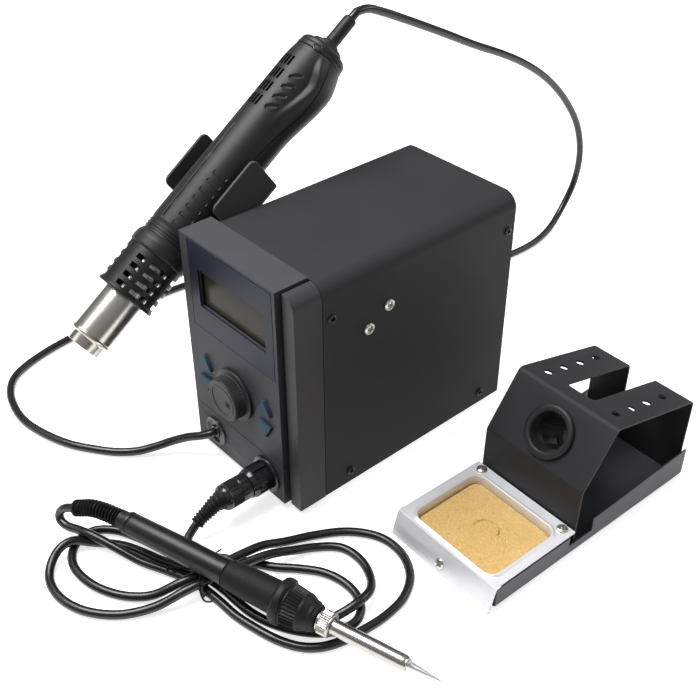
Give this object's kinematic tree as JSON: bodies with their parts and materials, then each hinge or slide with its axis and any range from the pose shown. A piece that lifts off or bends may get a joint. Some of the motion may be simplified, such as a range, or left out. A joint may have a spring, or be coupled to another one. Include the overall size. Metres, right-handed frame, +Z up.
{
  "type": "hot air rework station",
  "caption": "Bench rework station: steel-cased control unit, hot air gun in a side cradle, corded soldering iron and a separate iron stand with sponge tray.",
  "frame": {"origin": "under the middle of the box round all rigid pieces (cords left out), on the table", "axes": "+X to the right seen from the front, +Y to the rear, +Z up"},
  "size_m": [0.3667, 0.5065, 0.2197],
  "materials": {
    "painted_steel": "fine textured powder coat",
    "cradle_paint": "textured powder coat",
    "zinc_plated_steel": "zinc plated",
    "bezel_plastic": "fine grained moulding",
    "dark_plastic": "fine grained moulding",
    "gun_plastic": "satin moulding",
    "gloss_black": "polished",
    "black_rubber": "matt",
    "overlay_film": "satin printed film",
    "lcd_glass": "dark liquid crystal display",
    "circuit_board": "solder resist",
    "button_blue": "satin moulding",
    "chrome": "polished plating",
    "bright_steel": "ground",
    "brass": "turned",
    "core_laminations": "stacked sheet",
    "coil_copper": "wound enamelled wire",
    "ceramic": "unglazed ceramic",
    "tray_metal": "plated",
    "channel_paint": "satin paint",
    "sponge_yellow": "open cell sponge"
  },
  "bodies": {
    "station": {"case_cover": "painted_steel", "base_plate": "zinc_plated_steel", "rear_panel": "painted_steel", "front_frame": "dark_plastic", "front_bezel": "bezel_plastic", "connector_panel": "bezel_plastic", "display_overlay": "overlay_film", "lcd_module": "lcd_glass", "display_board": "circuit_board", "potentiometer": "brass", "cord_gland": "black_rubber", "iron_socket": "gloss_black", "iron_plug": "gloss_black", "plug_boot": "black_rubber", "mainboard": "circuit_board", "transformer_core": "core_laminations", "transformer_coil": "coil_copper", "power_inlet": "dark_plastic", "switch_housing": "dark_plastic", "fuse_holder": "dark_plastic", "gun_cradle": "cradle_paint", "station_foot_1": "black_rubber", "station_foot_2": "black_rubber", "station_foot_3": "black_rubber", "station_foot_4": "black_rubber", "gun_cord": "black_rubber", "iron_cord": "black_rubber", "cord_tie": "black_rubber"},
    "knob": {"airflow_knob": "gun_plastic", "knob_shaft": "bright_steel"},
    "left_up_button": {"left_up_button": "button_blue"},
    "left_down_button": {"left_down_button": "button_blue"},
    "right_up_button": {"right_up_button": "button_blue"},
    "right_down_button": {"right_down_button": "button_blue"},
    "rocker": {"power_rocker": "dark_plastic"},
    "locking_ring": {"plug_locking_ring": "gloss_black"},
    "gun": {"gun_nozzle": "chrome", "heater_core": "ceramic", "gun_guard": "gun_plastic", "gun_shell_top": "gun_plastic", "gun_shell_bottom": "gun_plastic", "fan_motor": "bright_steel", "gun_rear_cap": "gun_plastic", "gun_strain_relief": "black_rubber"},
    "impeller": {"fan_impeller": "gun_plastic"},
    "iron": {"iron_handle": "gun_plastic", "iron_grip": "black_rubber", "iron_front_housing": "gun_plastic", "iron_tube": "chrome", "iron_tip": "chrome", "iron_heater": "ceramic", "iron_boot": "black_rubber"},
    "nut": {"iron_nut": "chrome"},
    "iron_stand": {"stand_base": "channel_paint", "sponge_tray": "tray_metal", "stand_bracket": "painted_steel", "holder_funnel": "gloss_black", "holder_tube": "painted_steel"},
    "sponge": {"sponge": "sponge_yellow"}
  },
  "joints": [
    {"name": "knob_turn", "type": "hinge", "parent": "station", "child": "knob", "pos_m": [-0.0459, -0.05035, 0.059], "axis": [0, -1, 0], "range_deg": [-135, 135]},
    {"name": "left_up_button_press", "type": "slide", "parent": "station", "child": "left_up_button", "axis": [0, 1, 0], "range_m": [0, 0.0008], "stiffness_N_per_m": 400, "springref_m": -0.0004},
    {"name": "left_down_button_press", "type": "slide", "parent": "station", "child": "left_down_button", "axis": [0, 1, 0], "range_m": [0, 0.0008], "stiffness_N_per_m": 400, "springref_m": -0.0004},
    {"name": "right_up_button_press", "type": "slide", "parent": "station", "child": "right_up_button", "axis": [0, 1, 0], "range_m": [0, 0.0008], "stiffness_N_per_m": 400, "springref_m": -0.0004},
    {"name": "right_down_button_press", "type": "slide", "parent": "station", "child": "right_down_button", "axis": [0, 1, 0], "range_m": [0, 0.0008], "stiffness_N_per_m": 400, "springref_m": -0.0004},
    {"name": "power_switch", "type": "hinge", "parent": "station", "child": "rocker", "pos_m": [-0.0249, 0.11435, 0.068], "axis": [0, 0, 1], "range_deg": [-18, 0]},
    {"name": "locking_ring_turn", "type": "hinge", "parent": "station", "child": "locking_ring", "pos_m": [-0.0215, -0.05335, 0.0177], "axis": [0, -1, 0], "range_deg": [0, 360]},
    {"name": "gun_lift", "type": "slide", "parent": "station", "child": "gun", "axis": [0, -0.57, 0.8216], "range_m": [0, 0.08]},
    {"name": "fan_spin", "type": "hinge", "parent": "gun", "child": "impeller", "pos_m": [-0.1109, 0.04375, 0.17837], "axis": [0, 0.8216, 0.57], "continuous": true},
    {"name": "iron_lift", "type": "slide", "parent": "station", "child": "iron", "axis": [0, 0, 1], "range_m": [0, 0.1]},
    {"name": "nut_turn", "type": "hinge", "parent": "iron", "child": "nut", "pos_m": [0.0767, -0.08673, 0.01542], "axis": [0.9437, 0.3246, -0.0637], "range_deg": [0, 360]},
    {"name": "stand_lift", "type": "slide", "parent": "station", "child": "iron_stand", "axis": [0, 0, 1], "range_m": [0, 0.15]},
    {"name": "sponge_lift", "type": "slide", "parent": "iron_stand", "child": "sponge", "axis": [0, 0, 1], "range_m": [0, 0.03]}
  ]
}
